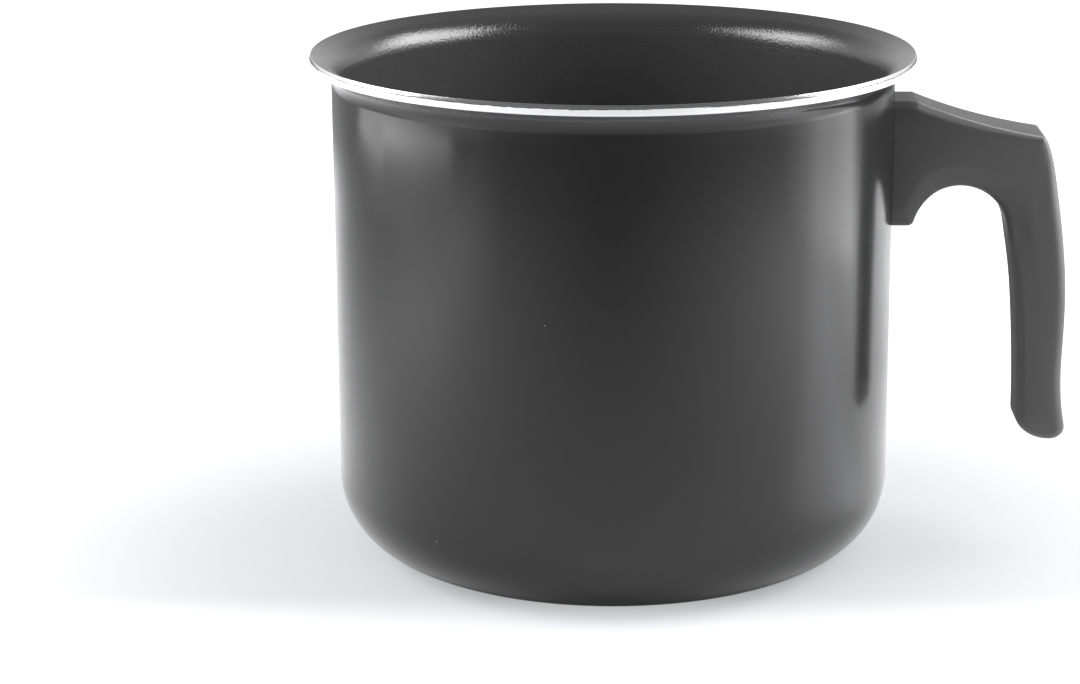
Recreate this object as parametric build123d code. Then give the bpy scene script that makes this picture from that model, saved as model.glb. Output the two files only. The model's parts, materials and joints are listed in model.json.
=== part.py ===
from build123d import *
import math
import os

# A tall saucepan of the milk-pot kind, in millimetres.
# +Z is up, the origin is the middle of the base on the worktop, and the handle points along +X.

# Pot
inner_radius = 70.0
wall = 2.4
pot_height = 131.5
base_thickness = 3.0
base_corner_radius = 20.0
lip_overhang = 5.5
lip_bend_radius = 4.0
lip_turn_degrees = 65.0
rim_bevel_height = 1.0
rim_bevel_lean = 0.3
rim_foot_lean = 0.15

# Turned rings under the base
groove_count = 7
groove_width = 2.2
groove_depth = 0.4
base_land_width = 5.0
base_centre_radius = 8.0

# Handle
handle_drop = 12.3
handle_height = 90.1
handle_width = 19.0
handle_edge_radius = 2.0
finger_gap = 34.3
grip_thickness = 12.2
arm_depth = 21.8
arm_flat = 4.8
foot_depth = 4.7
grip_toe_radius = 3.1
grip_flare_degrees = 11.0
grip_heel_rise = 6.3
foot_corner_radius = 2.5
pocket_wall = 3.7
pocket_side_wall = 3.2

# Bracket, a hat of thick sheet inside the handle's foot
bracket_sheet = 2.0
bracket_bend_radius = 0.5
bracket_stand_off = 8.0
flange_margin = 0.1
bracket_corner_radius = 2.0
burl_height = 1.4
burl_wall = 1.2

# Rivets
rivet_radius = 2.0
rivet_inner_head_radius = 4.5
rivet_inner_head_height = 1.8
rivet_inner_head_rim = 0.5
rivet_outer_head_radius = 3.2
rivet_outer_head_height = 1.4
rivet_outer_head_chamfer = 0.4

# M4 screw
screw_radius = 2.0
screw_length = 30.0
screw_point = 0.6
screw_run_out = 0.8
screw_head_radius = 4.0
screw_head_height = 3.1
screw_head_rounding = 1.4
recess_radius = 2.2
recess_tip_radius = 0.7
recess_depth = 1.9
recess_blade = 1.0

# Washers
spring_washer_inner_radius = 2.2
spring_washer_outer_radius = 3.8
spring_washer_thickness = 0.9
spring_washer_gap = 0.8
spring_washer_cut_degrees = 20.0
plain_washer_inner_radius = 2.15
plain_washer_outer_radius = 4.5
plain_washer_thickness = 0.8

# Clearances between pieces, and the one overrun of every cut
seat_clearance = 0.05
thread_clearance = 0.05
rivet_clearance = 0.05
screw_clearance = 0.3
pocket_clearance = 0.3
clamp_gap = 0.3
counterbore_clearance = 0.3
overrun = 3.0

# Outline of the handle. Across, the outside follows the reach and the inner edge the finger gap.
# Down, the arm's top follows the arm's depth, and the two edges what is left of the height below it.
arm_middle_shares = (0.452, 0.259)
arm_end_shares = (0.832, 0.436)
outer_edge_shares = [(0.869, 0.056), (0.910, 0.169), (0.946, 0.310), (0.970, 0.465), (0.972, 0.627),
                     (0.966, 0.788)]
inner_edge_shares = [(0.994, 0.710), (0.971, 0.461), (0.936, 0.244), (0.890, 0.075)]
arm_end_slope_shares = (0.45, 0.89)
arch_reach_share = 0.866
arch_end_degrees = 17.7
foot_drop_share = 0.844

# Worked out from the sizes above
outer_radius = inner_radius + wall
handle_top = pot_height - handle_drop
handle_reach = finger_gap + grip_thickness
arch_radius = (finger_gap * arch_reach_share - foot_depth) / 2
foot_height = arm_depth + arch_radius * foot_drop_share
screw_height = handle_top - foot_height / 2
pocket_height = foot_height - 2 * pocket_wall
pocket_width = handle_width - 2 * pocket_side_wall
bracket_height = pocket_height - 2 * pocket_clearance
bracket_width = pocket_width - 2 * pocket_clearance
bracket_face = outer_radius + seat_clearance + bracket_stand_off
flange_face = outer_radius + seat_clearance + bracket_sheet
flange_height = 2 * (rivet_outer_head_radius + bracket_bend_radius + flange_margin)
hat_height = bracket_height - 2 * flange_height
rivet_offset = (bracket_height - flange_height) / 2
rivet_heights = {
    "upper_rivet": screw_height + rivet_offset,
    "lower_rivet": screw_height - rivet_offset,
}
burl_end = bracket_face - bracket_sheet - burl_height
screw_tip = burl_end - screw_run_out
screw_seat = screw_tip + screw_length
spring_washer_seat = screw_seat - spring_washer_thickness - seat_clearance
plain_washer_seat = spring_washer_seat - plain_washer_thickness - seat_clearance
counterbore_floor = plain_washer_seat - seat_clearance
counterbore_radius = plain_washer_outer_radius + counterbore_clearance


def save(shape, node):
    """Writes one piece to its own file."""
    shape.label = node
    export_step(shape, f"parts/{node}.step")


def rod(radius, start, end, height=screw_height):
    """A round bar along X at the given height."""
    middle = Location(((start + end) / 2, 0, height), (0, 90, 0))
    return middle * Cylinder(radius, end - start)


def upright(radius, bottom, top):
    """A round bar along the pot's axis."""
    return Pos(0, 0, (bottom + top) / 2) * Cylinder(radius, top - bottom)


def face_from(*curves):
    """A face bounded by curves laid end to end."""
    edges = [edge for curve in curves for edge in curve.edges()]
    return make_face(Wire(edges))


def pot_section():
    """Half section of the pot: base, round corner, wall, bent lip and turned rim edge."""
    turn = math.radians(lip_turn_degrees)
    slope = 1 / math.tan(turn)
    upper_bend = lip_bend_radius + wall
    bend_x = outer_radius + lip_bend_radius
    rim_x = outer_radius + lip_overhang
    top_x = rim_x - rim_bevel_lean
    foot_x = rim_x - rim_foot_lean
    neck_z = pot_height - upper_bend * math.sin(turn) - (top_x - bend_x + upper_bend * math.cos(turn)) * slope

    def bend_point(radius, angle):
        return (bend_x - radius * math.cos(angle), neck_z + radius * math.sin(angle))

    upper_end = bend_point(upper_bend, turn)
    lower_end = bend_point(lip_bend_radius, turn)
    foot_z = lower_end[1] + (foot_x - lower_end[0]) * slope

    corner_x = outer_radius - base_corner_radius
    floor_radius = base_corner_radius - base_thickness
    floor_x = inner_radius - floor_radius

    def corner_point(centre_x, radius, angle):
        return (centre_x + radius * math.cos(angle), base_corner_radius - radius * math.sin(angle))

    middle = math.pi / 4
    return face_from(
        Line((0, 0), (corner_x, 0)),
        ThreePointArc((corner_x, 0), corner_point(corner_x, base_corner_radius, middle),
                      (outer_radius, base_corner_radius)),
        Line((outer_radius, base_corner_radius), (outer_radius, neck_z)),
        ThreePointArc((outer_radius, neck_z), bend_point(lip_bend_radius, turn / 2), lower_end),
        Polyline(lower_end, (foot_x, foot_z), (rim_x, pot_height - rim_bevel_height),
                 (top_x, pot_height), upper_end),
        ThreePointArc(upper_end, bend_point(upper_bend, turn / 2), (inner_radius, neck_z)),
        Line((inner_radius, neck_z), (inner_radius, base_corner_radius)),
        ThreePointArc((inner_radius, base_corner_radius), corner_point(floor_x, floor_radius, middle),
                      (floor_x, base_thickness)),
        Polyline((floor_x, base_thickness), (0, base_thickness), (0, 0)),
    )


def pot_shell():
    """The pressed pot, with turned rings under the base and a hole for each rivet."""
    shell = revolve(Plane.XZ * pot_section(), Axis.Z)
    ring_end = outer_radius - base_corner_radius - base_land_width
    pitch = (ring_end - base_centre_radius) / groove_count
    for index in range(groove_count):
        inner = base_centre_radius + pitch * index
        shell -= upright(inner + groove_width, -overrun, groove_depth) - upright(inner, -overrun, groove_depth)
    for height in rivet_heights.values():
        shell -= rod(rivet_radius + rivet_clearance, inner_radius - overrun, outer_radius + overrun, height)
    return shell


def handle_bracket():
    """A sheet hat: two flanges riveted to the wall and a raised face with a burled, tapped hole."""
    flange_x = flange_face - bracket_sheet / 2
    face_x = bracket_face - bracket_sheet / 2
    side_z = (hat_height - bracket_sheet) / 2
    end_z = bracket_height / 2
    sheet_line = FilletPolyline(
        (flange_x, -end_z), (flange_x, -side_z), (face_x, -side_z),
        (face_x, side_z), (flange_x, side_z), (flange_x, end_z),
        radius=bracket_bend_radius + bracket_sheet / 2)
    section = trace(sheet_line, bracket_sheet)
    bracket = extrude(Plane.XZ * section, bracket_width / 2, both=True)
    corners = bracket.edges().filter_by(Axis.X).group_by(Axis.Z)
    bracket = fillet(corners[0] + corners[-1], bracket_corner_radius)
    bracket = Pos(0, 0, screw_height) * bracket
    bracket += rod(screw_radius + burl_wall, burl_end, bracket_face - bracket_sheet / 2)
    bracket -= rod(screw_radius + thread_clearance, burl_end - overrun, bracket_face + overrun)
    for height in rivet_heights.values():
        bracket -= rod(rivet_radius + rivet_clearance, outer_radius - overrun, flange_face + overrun, height)
    return bracket


def rivet(height):
    """A rivet set from outside: a low dome in the pot, shaped to its wall, and a flat closing head."""
    crown = rivet_inner_head_height - rivet_inner_head_rim
    dome_radius = (rivet_inner_head_radius ** 2 + crown ** 2) / (2 * crown)
    dome_top = inner_radius - rivet_inner_head_height
    dome = Pos(dome_top + dome_radius, 0, height) * Sphere(dome_radius)
    head = rod(rivet_inner_head_radius, dome_top, inner_radius, height) & dome
    head &= upright(inner_radius - seat_clearance, 0, pot_height)
    closing = rod(rivet_outer_head_radius, flange_face + seat_clearance,
                  flange_face + seat_clearance + rivet_outer_head_height, height)
    outer_rim = closing.edges().sort_by(Axis.X)[-1]
    closing = chamfer(outer_rim, rivet_outer_head_chamfer)
    shank = rod(rivet_radius, dome_top + rivet_inner_head_height / 2,
                flange_face + seat_clearance + rivet_outer_head_height / 2, height)
    return head + shank + closing


def handle_outline():
    """Side outline of the handle: foot on the wall, arm, hanging grip and finger arch."""
    def points(shares_list, reach, start, end):
        return [(outer_radius + reach * across, start + (end - start) * down) for across, down in shares_list]

    up = (0, 1)
    arch_centre = (outer_radius + foot_depth + arch_radius, handle_top - arm_depth - arch_radius)
    foot_angle = math.asin(1 - foot_drop_share)

    def arch_point(angle):
        return (arch_centre[0] + arch_radius * math.cos(angle), arch_centre[1] + arch_radius * math.sin(angle))

    arch_end_angle = math.radians(arch_end_degrees)
    arch_end = arch_point(arch_end_angle)
    arch_start = arch_point(math.pi - foot_angle)
    arch_rise = (-math.sin(arch_end_angle), math.cos(arch_end_angle))
    flat_end = (outer_radius + arm_flat, handle_top)
    arm_bottom = handle_top - arm_depth
    grip_bottom = handle_top - handle_height
    arm_middle, arm_end = points([arm_middle_shares, arm_end_shares], handle_reach, handle_top, arm_bottom)
    outer_edge = points(outer_edge_shares, handle_reach, arm_end[1], grip_bottom)
    inner_edge = points(inner_edge_shares, finger_gap, arch_end[1], grip_bottom)
    toe_centre = (outer_radius + handle_reach - grip_toe_radius, grip_bottom + grip_toe_radius)
    flare_angle = math.radians(grip_flare_degrees)

    def toe_point(angle):
        return (toe_centre[0] + grip_toe_radius * math.cos(angle), toe_centre[1] + grip_toe_radius * math.sin(angle))

    toe_start = toe_point(flare_angle)
    toe_middle = toe_point((flare_angle - math.pi / 2) / 2)
    toe_end = (toe_centre[0], grip_bottom)
    toe_flare = (math.sin(flare_angle), -math.cos(flare_angle))
    heel_top = (outer_radius + finger_gap, grip_bottom + grip_heel_rise)
    bulge = math.sin(math.pi / 4)
    heel_middle = (toe_end[0] - (toe_end[0] - heel_top[0]) * bulge, heel_top[1] - grip_heel_rise * bulge)
    arm_end_fall = (arm_end_slope_shares[0], -arm_end_slope_shares[1])
    back_x = outer_radius - overrun
    outline = face_from(
        Line((back_x, handle_top), flat_end),
        ThreePointArc(flat_end, arm_middle, arm_end),
        Spline([arm_end] + outer_edge + [toe_start], tangents=[arm_end_fall, toe_flare]),
        ThreePointArc(toe_start, toe_middle, toe_end),
        Spline([toe_end, heel_middle, heel_top], tangents=[(-1, 0), up]),
        Spline([heel_top] + inner_edge + [arch_end], tangents=[up, arch_rise]),
        ThreePointArc(arch_end, arch_point(math.pi / 2), arch_start),
        Polyline(arch_start, (back_x, arch_start[1]), (back_x, handle_top)),
    )
    foot_corner = outline.vertices().sort_by_distance(arch_start)[0]
    return fillet(foot_corner, foot_corner_radius)


def handle():
    """The moulding, rounded all round, with a stepped pocket for the bracket and a sunk screw hole."""
    body = extrude(Plane.XZ * handle_outline(), handle_width / 2, both=True)
    sides = body.faces().filter_by(Axis.Y)
    rounded = [edge for edge in sides.edges() if edge.center().X > outer_radius - overrun / 2]
    body = fillet(rounded, handle_edge_radius)
    body -= upright(outer_radius + seat_clearance, 0, pot_height)
    flange_floor = flange_face + seat_clearance + rivet_outer_head_height + pocket_clearance
    body -= pocket(flange_floor, pocket_height)
    body -= pocket(bracket_face + clamp_gap, hat_height + 2 * pocket_clearance)
    body -= rod(screw_radius + screw_clearance, outer_radius, outer_radius + handle_reach + overrun)
    body -= rod(counterbore_radius, counterbore_floor, outer_radius + handle_reach + overrun)
    return body


def pocket(floor, height):
    """A square-cornered cut into the handle's foot, from inside the wall to its floor."""
    start = outer_radius - overrun
    return Pos((start + floor) / 2, 0, screw_height) * Box(floor - start, pocket_width, height)


def handle_screw():
    """Pan-head screw with a cross recess, its thread drawn as a plain shank."""
    shank = rod(screw_radius, screw_tip, screw_seat + screw_head_height / 2)
    shank = chamfer(shank.edges().sort_by(Axis.X)[0], screw_point)
    head_top = screw_seat + screw_head_height
    head = rod(screw_head_radius, screw_seat, head_top)
    head = fillet(head.edges().sort_by(Axis.X)[-1], screw_head_rounding)
    screw = shank + head
    half_blade = recess_blade / 2
    blade_outline = Polyline(
        (head_top - recess_depth, -recess_tip_radius), (head_top + overrun, -recess_radius),
        (head_top + overrun, recess_radius), (head_top - recess_depth, recess_tip_radius), close=True)
    blade = Pos(0, 0, screw_height) * extrude(Plane.XZ * make_face(blade_outline), half_blade, both=True)
    axis = Axis((0, 0, screw_height), (1, 0, 0))
    return screw - blade - blade.rotate(axis, 90)


def ring(inner, outer, start, end):
    """A washer around the screw's axis."""
    return rod(outer, start, end) - rod(inner, start - overrun, end + overrun)


def spring_washer():
    """A split ring, pressed flat, with its slanted cut at the top."""
    end = spring_washer_seat + spring_washer_thickness
    body = ring(spring_washer_inner_radius, spring_washer_outer_radius, spring_washer_seat, end)
    cut_height = spring_washer_outer_radius + overrun
    cut = Box(spring_washer_thickness + 2 * overrun, spring_washer_gap, cut_height)
    cut = Location(((spring_washer_seat + end) / 2, 0, screw_height + cut_height / 2),
                   (0, 0, spring_washer_cut_degrees)) * cut
    return body - cut


def plain_washer():
    """A flat ring between the spring washer and the moulding."""
    return ring(plain_washer_inner_radius, plain_washer_outer_radius, plain_washer_seat,
                plain_washer_seat + plain_washer_thickness)


os.makedirs("parts", exist_ok=True)
save(pot_shell(), "pot_shell")
save(handle(), "handle")
save(handle_bracket(), "handle_bracket")
for node, height in rivet_heights.items():
    save(rivet(height), node)
save(handle_screw(), "handle_screw")
save(spring_washer(), "spring_washer")
save(plain_washer(), "plain_washer")
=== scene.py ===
# %% [markdown]
# # A tall saucepan, dressed for the camera
# The sizes of this pan are already settled in its CAD model: a pressed aluminium pot, a moulded
# handle and the fixing hidden in the handle's foot. Blender leaves those sizes alone. It gives each
# piece a finer mesh where the eye asks for one, and a finish that behaves like the real coat,
# moulding or metal. Everything is in metres, with +Z up, the origin under the middle of the base
# and the handle along +X.

import json
import math

import bpy
import numpy as np
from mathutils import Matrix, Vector
from mathutils.geometry import delaunay_2d_cdt

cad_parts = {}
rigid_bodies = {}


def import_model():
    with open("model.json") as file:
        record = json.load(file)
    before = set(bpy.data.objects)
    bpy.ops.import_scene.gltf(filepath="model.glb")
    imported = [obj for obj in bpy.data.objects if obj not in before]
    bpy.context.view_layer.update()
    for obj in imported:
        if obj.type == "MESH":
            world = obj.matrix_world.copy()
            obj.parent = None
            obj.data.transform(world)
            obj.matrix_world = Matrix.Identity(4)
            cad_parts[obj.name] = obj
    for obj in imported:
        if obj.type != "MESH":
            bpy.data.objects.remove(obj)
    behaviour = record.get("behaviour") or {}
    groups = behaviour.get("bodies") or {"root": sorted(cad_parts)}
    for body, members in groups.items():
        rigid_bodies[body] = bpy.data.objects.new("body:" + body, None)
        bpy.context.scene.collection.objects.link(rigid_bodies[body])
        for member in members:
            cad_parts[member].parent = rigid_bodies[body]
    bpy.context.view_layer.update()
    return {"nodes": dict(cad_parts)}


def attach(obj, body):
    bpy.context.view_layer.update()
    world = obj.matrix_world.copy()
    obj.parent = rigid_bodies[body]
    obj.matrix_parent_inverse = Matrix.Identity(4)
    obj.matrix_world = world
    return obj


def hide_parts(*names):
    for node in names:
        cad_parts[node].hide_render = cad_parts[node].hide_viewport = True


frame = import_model()
nodes = frame["nodes"]
MM = 0.001
print("CAD nodes:", sorted(nodes))

# %% [markdown]
# ## The camera
# The picture was taken from in front and a little above, with the pot left of the lens's axis. How
# wide the rim's ellipse is against its height gives the tilt, and how much smaller the base looks
# than the rim gives the distance. The tilt stays in the camera's turn, and a small shift puts the
# pot where the picture has it, so that its walls converge as they do there.

# %% Set up the camera
CAMERA_DISTANCE = 755.4 * MM
CAMERA_HEIGHT = 260.05 * MM
CAMERA_TILT = 15.3
PHOTO_SIZE = (1080, 684)
PHOTO_FOCAL = 2964.3
PHOTO_CENTRE_X = 613.2

bpy.ops.object.camera_add(location=(0, -CAMERA_DISTANCE, CAMERA_HEIGHT),
                          rotation=(math.radians(90 - CAMERA_TILT), 0, 0))
camera = bpy.context.object
camera.name = "camera"
camera.data.sensor_width = 36
camera.data.lens = camera.data.sensor_width * PHOTO_FOCAL / PHOTO_SIZE[0]
camera.data.shift_x = (PHOTO_SIZE[0] / 2 - PHOTO_CENTRE_X) / PHOTO_SIZE[0]
bpy.context.scene.camera = camera
bpy.context.scene.view_settings.view_transform = "Standard"
print("Lens in mm:", round(camera.data.lens, 1), "shift:", round(camera.data.shift_x, 4))

# %% [markdown]
# ## Helpers for modelling with operators
# An operator acts on whatever is selected, and loading the model leaves its nodes selected. So each
# step starts by dropping the selection, and each new piece is finished by putting its origin at the
# world's origin, because its place belongs in its mesh.


# %% Select, finish and cut
def deselect():
    if bpy.context.mode != "OBJECT":
        bpy.ops.object.mode_set(mode="OBJECT")
    bpy.ops.object.select_all(action="DESELECT")


def select_only(piece):
    deselect()
    piece.select_set(True)
    bpy.context.view_layer.objects.active = piece


def settle(piece, angle=None):
    """Places the piece's transform in its mesh and, if an angle is given, shades it smooth."""
    select_only(piece)
    bpy.ops.object.transform_apply(location=True, rotation=True, scale=True)
    if angle is not None:
        bpy.ops.object.shade_smooth_by_angle(angle=math.radians(angle))


def apply_modifier(piece, kind, **values):
    select_only(piece)
    modifier = piece.modifiers.new(kind.lower(), kind)
    for name, value in values.items():
        setattr(modifier, name, value)
    bpy.ops.object.modifier_apply(modifier=modifier.name)


def cut(piece, *cutters):
    """Cuts each cutter out of the piece and removes the cutter."""
    for cutter in cutters:
        apply_modifier(piece, "BOOLEAN", operation="DIFFERENCE", solver="EXACT", object=cutter)
        bpy.data.objects.remove(cutter)


def rod_cutter(radius, start, end, height, sides):
    """A round bar along X, in mm, to cut with."""
    deselect()
    bpy.ops.mesh.primitive_cylinder_add(
        vertices=sides, radius=radius * MM, depth=(end - start) * MM,
        location=((start + end) / 2 * MM, 0, height * MM), rotation=(0, math.pi / 2, 0))
    return bpy.context.object


def triangles(piece):
    return sum(len(face.vertices) - 2 for face in piece.data.polygons)


# %% [markdown]
# ## The pot's section
# The pot is a disc of aluminium pressed into a deep round shape, so half of its section says
# everything: the turned rings under the base, the round corner, the straight wall, the lip bent
# outwards and, at its edge, two bright facets left by the tool that trimmed it. The section is
# walked once round, from the middle of the base outside to the middle of the floor inside.

# %% Sizes of the pot, in mm
INNER_RADIUS = 70.0
WALL = 2.4
POT_HEIGHT = 131.5
BASE_THICKNESS = 3.0
BASE_CORNER_RADIUS = 20.0
LIP_OVERHANG = 5.5
LIP_BEND_RADIUS = 5.0
LIP_TURN = math.radians(65)
RIM_BEVEL_HEIGHT = 1.0
RIM_BEVEL_LEAN = 0.3
RIM_FOOT_LEAN = 0.15
GROOVE_COUNT = 7
GROOVE_WIDTH = 2.2
GROOVE_DEPTH = 0.4
GROOVE_SLOPE = 0.12
BASE_LAND_WIDTH = 5.0
BASE_CENTRE_RADIUS = 8.0
OUTER_RADIUS = INNER_RADIUS + WALL
RIM_RADIUS = OUTER_RADIUS + LIP_OVERHANG
RIM_BREAK = 0.08
RIDGE_HALF = 0.06
RIDGE_SINKS = (0.01, 0.02)
UNDER_LIP_STEPS, UPPER_LIP_STEPS, CORNER_STEPS, FLOOR_STEPS = 10, 14, 24, 20
FLOOR_RINGS = (40, 26, 12, 0)
RIVET_HEIGHTS = (111.40, 94.65)
HOLE_MARGIN = 3.4
PLAIN_RINGS = [45, 70, 119]
WALL_RINGS = sorted(PLAIN_RINGS + [z + m for z in RIVET_HEIGHTS for m in (-HOLE_MARGIN, HOLE_MARGIN)])


# %% Walk round the section
def arc(centre, radius, start, end, steps):
    """Points on an arc, from one angle to another, both in degrees."""
    angles = [math.radians(a) for a in np.linspace(start, end, steps + 1)]
    return [(centre[0] + radius * math.cos(a), centre[1] + radius * math.sin(a)) for a in angles]


def pot_section():
    slope = 1 / math.tan(LIP_TURN)
    turn = math.degrees(LIP_TURN)
    bend_x = OUTER_RADIUS + LIP_BEND_RADIUS
    upper_bend = LIP_BEND_RADIUS + WALL
    top_x = RIM_RADIUS - RIM_BEVEL_LEAN
    foot_x = RIM_RADIUS - RIM_FOOT_LEAN
    neck_z = (POT_HEIGHT - upper_bend * math.sin(LIP_TURN)
              - (top_x - bend_x + upper_bend * math.cos(LIP_TURN)) * slope)
    under_lip = arc((bend_x, neck_z), LIP_BEND_RADIUS, 180, 180 - turn, UNDER_LIP_STEPS)
    foot_z = under_lip[-1][1] + (foot_x - under_lip[-1][0]) * slope
    ring_end = OUTER_RADIUS - BASE_CORNER_RADIUS - BASE_LAND_WIDTH
    pitch = (ring_end - BASE_CENTRE_RADIUS) / GROOVE_COUNT
    points = [(0, 0)]
    for index in range(GROOVE_COUNT):
        inner = BASE_CENTRE_RADIUS + pitch * index
        outer = inner + GROOVE_WIDTH
        points += [(inner, 0), (inner + GROOVE_SLOPE, GROOVE_DEPTH),
                   (outer - GROOVE_SLOPE, GROOVE_DEPTH), (outer, 0)]
    corner_x = OUTER_RADIUS - BASE_CORNER_RADIUS
    floor_radius = BASE_CORNER_RADIUS - BASE_THICKNESS
    points += arc((corner_x, BASE_CORNER_RADIUS), BASE_CORNER_RADIUS, -90, 0, CORNER_STEPS)
    points += [(OUTER_RADIUS, z) for z in WALL_RINGS]
    points += under_lip
    points += [(foot_x - RIM_BREAK, foot_z - RIM_BREAK * slope), (foot_x, foot_z + RIM_BREAK)]
    ridge_z = POT_HEIGHT - RIM_BEVEL_HEIGHT
    points += [(RIM_RADIUS - RIDGE_SINKS[0], ridge_z - RIDGE_HALF),
               (RIM_RADIUS - RIDGE_SINKS[1], ridge_z + RIDGE_HALF)]
    points += [(top_x + RIDGE_SINKS[1], POT_HEIGHT - RIDGE_HALF),
               (top_x - RIM_BREAK, POT_HEIGHT - RIM_BREAK * slope)]
    points += arc((bend_x, neck_z), upper_bend, 180 - turn, 180, UPPER_LIP_STEPS)
    points += [(INNER_RADIUS, z) for z in reversed(WALL_RINGS)]
    points += arc((corner_x, BASE_CORNER_RADIUS), floor_radius, 0, -90, FLOOR_STEPS)
    points += [(r, BASE_THICKNESS) for r in FLOOR_RINGS]
    return points, foot_z, top_x


section, rim_foot_z, rim_top_x = pot_section()
print("Points in the pot's section:", len(section))

# %% [markdown]
# ## The pot's body
# A lathe shape can be made by the Screw modifier or by the Spin operator. Spin is used here, because
# its steps can be counted exactly and the result is plain mesh. One vertex is extruded along the
# section, point by point, and the line is then spun a full turn. Where it closes, and at the two
# poles, vertices lie on each other, so doubles are merged before the normals are made to agree.

# %% Extrude the section and spin it
SPIN_STEPS = 256
DOUBLES = 0.01


def lathe(name, points, steps):
    deselect()
    bpy.ops.mesh.primitive_plane_add(size=MM, location=(0, 0, 0))
    piece = bpy.context.object
    piece.name = name
    piece.data.name = name
    bpy.ops.object.mode_set(mode="EDIT")
    bpy.ops.mesh.merge(type="CENTER")
    bpy.ops.transform.translate(value=(points[0][0] * MM, 0, points[0][1] * MM))
    for (x0, z0), (x1, z1) in zip(points, points[1:]):
        bpy.ops.mesh.extrude_region_move(
            TRANSFORM_OT_translate={"value": ((x1 - x0) * MM, 0, (z1 - z0) * MM)})
    bpy.ops.mesh.select_all(action="SELECT")
    bpy.ops.mesh.spin(steps=steps, angle=2 * math.pi, center=(0, 0, 0), axis=(0, 0, 1))
    bpy.ops.mesh.select_all(action="SELECT")
    bpy.ops.mesh.remove_doubles(threshold=DOUBLES * MM)
    bpy.ops.mesh.normals_make_consistent(inside=False)
    bpy.ops.object.mode_set(mode="OBJECT")
    return piece


pot = lathe("pot_body", section, SPIN_STEPS)
print("Pot body:", len(pot.data.vertices), "vertices,", triangles(pot), "triangles")

# %% Drill the two rivet holes
RIVET_HOLE_RADIUS = 2.05
OVERRUN = 3
HOLE_SIDES = 48
POT_SMOOTH_ANGLE = 28
for rivet_height in RIVET_HEIGHTS:
    cut(pot, rod_cutter(RIVET_HOLE_RADIUS, INNER_RADIUS - OVERRUN, OUTER_RADIUS + OVERRUN,
                        rivet_height, HOLE_SIDES))
settle(pot, POT_SMOOTH_ANGLE)
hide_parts("pot_shell")
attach(pot, "root")
print("Pot body after drilling:", triangles(pot), "triangles")

# %% [markdown]
# ## The handle's outline
# The handle is one moulding: a foot that stands on the wall, a short sloping arm and a grip that
# hangs clear of the pot. Seen from the side it is a closed outline, and its long edges are drawn
# through a few points by a smooth curve, as a draughtsman bends a spline. The points are shares of
# the finger gap and of the heights, so they say how the curve runs and the sizes say how large.

# %% Sizes of the handle, in mm
HANDLE_TOP = 119.2
HANDLE_HEIGHT = 90.7
HANDLE_WIDTH = 19.0
FINGER_GAP = 33.8
HANDLE_REACH = 46.5
ARM_DEPTH = 22.4
ARM_FLAT = 5.4
FOOT_DEPTH = 5.1
FOOT_CORNER_RADIUS = 1.8
TOE_RADIUS = 3.7
TOE_FLARE = math.radians(11)
HEEL_RISE = 6.3
HEEL_FULLNESS = 0.702
ARM_MIDDLE_SHARES = (0.452, 0.238)
ARM_END_SHARES = (0.832, 0.406)
OUTER_EDGE_SHARES = [(0.869, 0.056), (0.910, 0.169), (0.948, 0.310), (0.974, 0.465), (0.978, 0.627),
                     (0.971, 0.788)]
INNER_EDGE_SHARES = [(0.994, 0.710), (0.971, 0.461), (0.936, 0.244), (0.890, 0.075)]
ARM_END_FALL = (0.45, -0.89)
ARCH_REACH_SHARE = 0.880
ARCH_RADIUS = (FINGER_GAP * ARCH_REACH_SHARE - FOOT_DEPTH) / 2
ARCH_CENTRE = (OUTER_RADIUS + FOOT_DEPTH + ARCH_RADIUS, HANDLE_TOP - ARM_DEPTH - ARCH_RADIUS)
ARCH_END_ANGLE = math.radians(17.7)
FOOT_DROP_SHARE = 0.852


# %% Curves through points
def smooth_curve(points, start_slope, end_slope, per_step):
    """A cubic curve through the points, with a set direction at each end, as evenly spaced points."""
    p = np.array(points, float)
    t = np.concatenate([[0], np.cumsum(np.linalg.norm(np.diff(p, axis=0), axis=1))])
    h = np.diff(t)
    n = len(p)
    matrix = np.zeros((n, n))
    right = np.zeros((n, 2))
    matrix[0, 0] = matrix[-1, -1] = 1
    right[0] = np.array(start_slope) / np.hypot(*start_slope)
    right[-1] = np.array(end_slope) / np.hypot(*end_slope)
    for i in range(1, n - 1):
        matrix[i, i - 1:i + 2] = h[i], 2 * (h[i - 1] + h[i]), h[i - 1]
        right[i] = 3 * (h[i] / h[i - 1] * (p[i] - p[i - 1]) + h[i - 1] / h[i] * (p[i + 1] - p[i]))
    slopes = np.linalg.solve(matrix, right)
    curve = [p[0]]
    for i in range(n - 1):
        for s in np.linspace(0, 1, max(2, round(h[i] / per_step)) + 1)[1:]:
            curve.append(p[i] * (1 + 2 * s) * (1 - s) ** 2 + p[i + 1] * s * s * (3 - 2 * s)
                         + h[i] * (slopes[i] * s * (1 - s) ** 2 - slopes[i + 1] * s * s * (1 - s)))
    return [tuple(q) for q in curve]


def arc_through(start, middle, end, steps):
    """Points on the arc through three points."""
    (ax, ay), (bx, by), (cx, cy) = start, middle, end
    d = 2 * (ax * (by - cy) + bx * (cy - ay) + cx * (ay - by))
    a2, b2, c2 = ax * ax + ay * ay, bx * bx + by * by, cx * cx + cy * cy
    centre = ((a2 * (by - cy) + b2 * (cy - ay) + c2 * (ay - by)) / d,
              (a2 * (cx - bx) + b2 * (ax - cx) + c2 * (bx - ax)) / d)
    angles = np.unwrap([math.atan2(y - centre[1], x - centre[0]) for x, y in (start, middle, end)])
    return arc(centre, math.dist(start, centre), math.degrees(angles[0]), math.degrees(angles[2]), steps)


# %% Draw the outline
SPACING = 0.9
HEEL_SPACING = 0.5
BACK_SPACING = 2
BACK_REACH = 9.0
TOP_START = 3.4
SOLE_END = 1.0
TOP_POINTS, SOLE_POINTS = 7, 6
ARM_STEPS, TOE_STEPS, ARCH_STEPS, FOOT_STEPS = 40, 14, 44, 10
SAME_POINT = 0.02


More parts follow.
